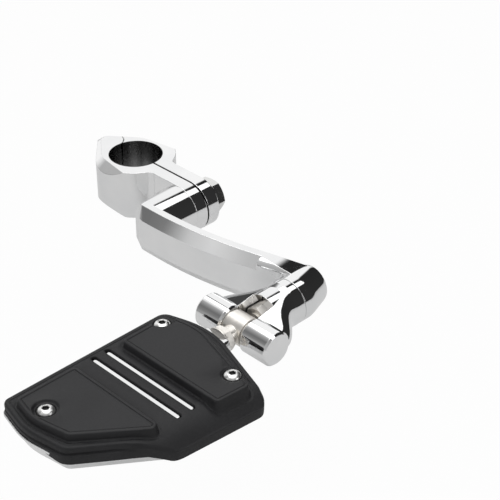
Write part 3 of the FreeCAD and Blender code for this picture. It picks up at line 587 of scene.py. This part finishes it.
class PadShape:
    """Height of the pad over its plan, measured from the top of its slab."""

    def __init__(self):
        self.outline = plain_loop(BOARD_CORNERS)
        self.islands = [plain_loop(corners) for corners in (INNER_ISLAND, OUTER_ISLAND)]

    def edge_depth(self, point):
        return depth_inside(self.outline, point)

    def island_depth(self, point):
        return max(depth_inside(loop, point) for loop in self.islands)

    def height(self, point, edge=None, island=None):
        """Edge and island are the point's depths in them, where these are known."""
        if edge is None:
            edge = self.edge_depth(point)
        if island is None:
            island = self.island_depth(point)
        flat = 1.0 - smooth(into_roll(point), *ROLL_FLAT_EDGE)
        slab = along_profile(EDGE_PROFILE, edge)[0] * flat - roll_fall(point)
        rise, groove = along_profile(ISLAND_PROFILE, island)
        height = slab + (ISLAND_HEIGHT - slab) * rise + groove
        for screw in SCREWS:
            start = SCREW_HOLE + LAND_SHARE * (screw.reach - SCREW_HOLE)
            share = 1.0 - smooth(screw_distance(point, screw), start, screw.reach)
            height += (screw.land - height) * share
        for middle in SLOT_MIDDLES:
            height -= along_profile(SLOT_RIM, slot_distance(point, middle))[0]
        return height


class PadPlan:
    """Points of the pad's plan with their heights, and the lines that its faces keep to."""

    def __init__(self):
        self.shape = PadShape()
        self.points = []
        self.heights = []
        self.edges = []

    def add_point(self, point):
        self.points.append(point)
        self.heights.append(self.shape.height(point))

    def add_loop(self, loop, drop=0.0, **known):
        first = len(self.points)
        self.points.extend(loop)
        self.heights.extend(self.shape.height(point, **known) - drop for point in loop)
        self.edges.extend((first + step, first + (step + 1) % len(loop)) for step in range(len(loop)))
        return range(first, first + len(loop))

    def add_edge_loops(self):
        loops = []
        for distance, _ in EDGE_PROFILE:
            loops.append(self.add_loop(spaced_points(BOARD_CORNERS, distance), edge=distance))
        return loops[0]

    def add_island_loops(self):
        for corners in (INNER_ISLAND, OUTER_ISLAND):
            for distance, _, _ in ISLAND_PROFILE:
                self.add_loop(spaced_points(corners, distance), island=distance)

    def add_slot_loops(self, middle):
        loops = [self.add_loop(slot_points(middle, SLOT_RADIUS + grow)) for grow, _ in SLOT_RIM]
        return loops[0]

    def add_hole_loops(self, screw):
        loops = []
        for share, drop in LAND_RIM:
            radius = SCREW_HOLE + (screw.reach - SCREW_HOLE) * share
            loops.append(self.add_loop(circle_points(screw, radius, HOLE_SIDES), drop))
        return loops[0]

    def add_roll_points(self):
        near, run, inward = right_edge()
        for inset in ROLL_LINES:
            for step in range(ROLL_LINE_POINTS):
                along = ROLL_LINE_START + ROLL_LINE_SPACING * step
                point = near + inward * inset + run * along
                clear = min(slot_distance(point, middle) for middle in SLOT_MIDDLES)
                if clear > ROLL_SLOT_CLEARANCE and self.shape.edge_depth(point) > ROLL_EDGE_CLEARANCE:
                    self.add_point(point)

    def is_open(self, point):
        """True inside a slot or a screw hole."""
        in_slot = any(slot_distance(point, middle) < -SLOT_TOLERANCE for middle in SLOT_MIDDLES)
        hole = SCREW_HOLE - HOLE_TOLERANCE
        return in_slot or any(screw_distance(point, screw) < hole for screw in SCREWS)

    def add_faces(self, mesh):
        """Faces over the whole plan, with each point's vertex."""
        placed, _, faces, origins, _, _ = delaunay_2d_cdt(self.points, self.edges, [], 0, MERGE_DISTANCE)
        verts = []
        found = {}
        for point, origin in zip(placed, origins):
            height = self.heights[origin[0]] if origin else self.shape.height(point)
            vert = mesh.verts.new((point.x, point.y, height))
            found.update((index, vert) for index in origin)
            verts.append(vert)
        for face in faces:
            centre = sum((placed[index] for index in face), Vector((0, 0))) / 3
            if not self.is_open(centre):
                made = mesh.faces.new([verts[index] for index in face])
                made.material_index = int(self.shape.island_depth(centre) > SMOOTH_ISLAND_INSET)
        return found


def skirt_place(point, way, row):
    """Place of one row of the skirt outside a point of the outline."""
    short, long, rolled = (Vector(pair) for pair in row)
    hang = smooth(point.x, *LONG_FROM_LEFT) * smooth(-point.y, *LONG_FROM_BACK)
    straight = short.lerp(long, hang)
    over = into_roll(point)
    out = straight.x + (rolled.x - straight.x) * smooth(over, *ROLL_OUTWARD)
    height = straight.y + (rolled.y - straight.y) * smooth(over, *ROLL_DOWNWARD)
    return (*(point + way * out), height)


def at_height(points, height):
    return [(*point, height) for point in points]


def add_walls(mesh, top_row, rows):
    for places in rows:
        row = [mesh.verts.new(place) for place in places]
        for index in range(len(row)):
            after = (index + 1) % len(row)
            mesh.faces.new((top_row[index], top_row[after], row[after], row[index]))
        top_row = row
    return top_row


def pad_mesh():
    """Moulded pad: rounded edge, two stepped islands, open slots, screw lands and a skirt over the tray."""
    plan = PadPlan()
    rim = plan.add_edge_loops()
    plan.add_island_loops()
    slots = [plan.add_slot_loops(middle) for middle in SLOT_MIDDLES]
    holes = [plan.add_hole_loops(screw) for screw in SCREWS]
    plan.add_roll_points()
    mesh = bmesh.new()
    found = plan.add_faces(mesh)

    outline = spaced_loop(BOARD_CORNERS, 0.0)
    rows = [[skirt_place(point, way, row) for point, way in outline] for row in SKIRT_ROWS]
    add_walls(mesh, [found[index] for index in rim], rows)
    for middle, ring in zip(SLOT_MIDDLES, slots):
        bottom = at_height(slot_points(middle, SLOT_RADIUS), -SLOT_DEPTH)
        add_walls(mesh, [found[index] for index in ring], [bottom])
    for screw, ring in zip(SCREWS, holes):
        radii = (SCREW_HOLE, SCREW_STEM)
        seat = screw.land - SCREW_SINK
        rows = [at_height(circle_points(screw, radius, HOLE_SIDES), seat) for radius in radii]
        add_walls(mesh, [found[index] for index in ring], rows)
    loose = [vert for vert in mesh.verts if not vert.link_faces]
    bmesh.ops.delete(mesh, geom=loose, context="VERTS")
    return mesh


def screw_mesh():
    """Button-head screws with hexagon sockets, each on its own land of the pad."""
    mesh = bmesh.new()
    for screw in SCREWS:
        seat = screw.land - SCREW_SINK
        rows = []
        for radius, height in SCREW_PROFILE:
            rows.append(at_height(circle_points(screw, radius, SCREW_SIDES), seat + height))
        for outward, height in SOCKET_PROFILE:
            apothem = SOCKET_APOTHEM + outward
            rows.append(at_height(hexagon_points(screw, apothem, SCREW_SIDES), seat + height))
        first = [mesh.verts.new(place) for place in rows[0]]
        mesh.faces.new(list(reversed(first)))
        last = add_walls(mesh, first, rows[1:])
        mesh.faces.new(last)
        # Faces inside the socket get the second material, dark steel as painted shade
        for face in mesh.faces:
            middle = face.calc_center_median()
            near = screw_distance(middle.xy, screw) < SOCKET_APOTHEM + SOCKET_SHADE_MARGIN
            if near and seat < middle.z < seat + SOCKET_SHADE_TOP:
                face.material_index = 1
    return mesh


def board_piece(name, mesh, materials, node):
    """Mesh in the board's millimetres made a piece of the scene, in place of its CAD node."""
    for vert in mesh.verts:
        vert.co.x = fold_place[0] + vert.co.x * MM
        vert.co.y = fold_place[1] + vert.co.y * MM
        vert.co.z = pad_top + (vert.co.z - ISLAND_HEIGHT) * MM
    data = bpy.data.meshes.new(name)
    mesh.to_mesh(data)
    mesh.free()
    for polygon in data.polygons:
        polygon.use_smooth = True
    data.set_sharp_from_angle(angle=math.radians(SHARP_ANGLE))
    for material in materials:
        data.materials.append(material)
    piece = bpy.data.objects.new(name, data)
    scene.collection.objects.link(piece)
    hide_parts(node)
    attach(piece, "board")


def dress(name, material):
    materials = NODES[name].data.materials
    materials.clear()
    materials.append(material)


# Camera, studio and lights
camera()
studio_world()
floor()
area_light("top_light", (0.0, 0.1, 1.1), (1.2, 1.2), 6.0)
area_light("front_light", (0.2, -1.3, 0.7), (0.9, 0.5), 3.0, mirrored=False)
area_light("side_light", (1.3, 0.3, 0.6), (0.5, 0.9), 2.5)

# Materials
chrome_tones = (grey(0.90), rgb(0.84, 0.845, 0.85))
chrome = metal("polished_chrome", *chrome_tones, 0.03, 0.05, 0.0005)
# Chrome with painted shade and painted reflection streaks inside the clamp's bore
bore_shaded_chrome = metal("bore_shaded_chrome", *chrome_tones, 0.03, 0.05, 0.0005, bored=True)
bolt_chrome = metal("bolt_chrome", rgb(0.80, 0.80, 0.79), rgb(0.72, 0.72, 0.71), 0.10, 0.10, 0.0003)
zinc = metal("bright_zinc", rgb(0.95, 0.92, 0.88), rgb(0.86, 0.83, 0.78), 0.34, 0.12, 0.0003, grain=4.0)
screw_steel = metal("screw_steel", rgb(0.88, 0.88, 0.87), rgb(0.78, 0.78, 0.77), 0.24, 0.12, 0.0002)
# Dark steel as painted shade inside the screws' hex sockets
socket_painted_shade = metal("socket_painted_shade", grey(0.2), grey(0.1), 0.35, 0.15, 0.0001)
grained_rubber = rubber("grained_rubber", 3.2, 0.5)
smooth_rubber = rubber("smooth_rubber", 0.4, 0.42)

# CAD nodes that stay, each in its slot's material
looks = {
    "chrome_casting": chrome,
    "chrome_fastener": bolt_chrome,
    "zinc_steel": zinc,
    "pad_rubber": grained_rubber,
}
for subpart in frame["record"]["subparts"]:
    dress(subpart["node"], looks[subpart["material_slot"]])
# Clamp halves get the chrome with painted shade and painted reflection streaks in the bore
for clamp_half in ("clamp_front_half", "clamp_rear_half"):
    dress(clamp_half, bore_shaded_chrome)

# Pad and its screws, placed by the fold pivot and the top of the pad's islands
joints = {joint["name"]: joint for joint in frame["record"]["behaviour"]["joints"]}
fold_place = joints["board_fold"]["pos_m"]
pad_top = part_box("board_pad")[1][2]
board_piece("moulded_pad", pad_mesh(), (grained_rubber, smooth_rubber), "board_pad")
board_piece("button_screws", screw_mesh(), (screw_steel, socket_painted_shade), "pad_screws")
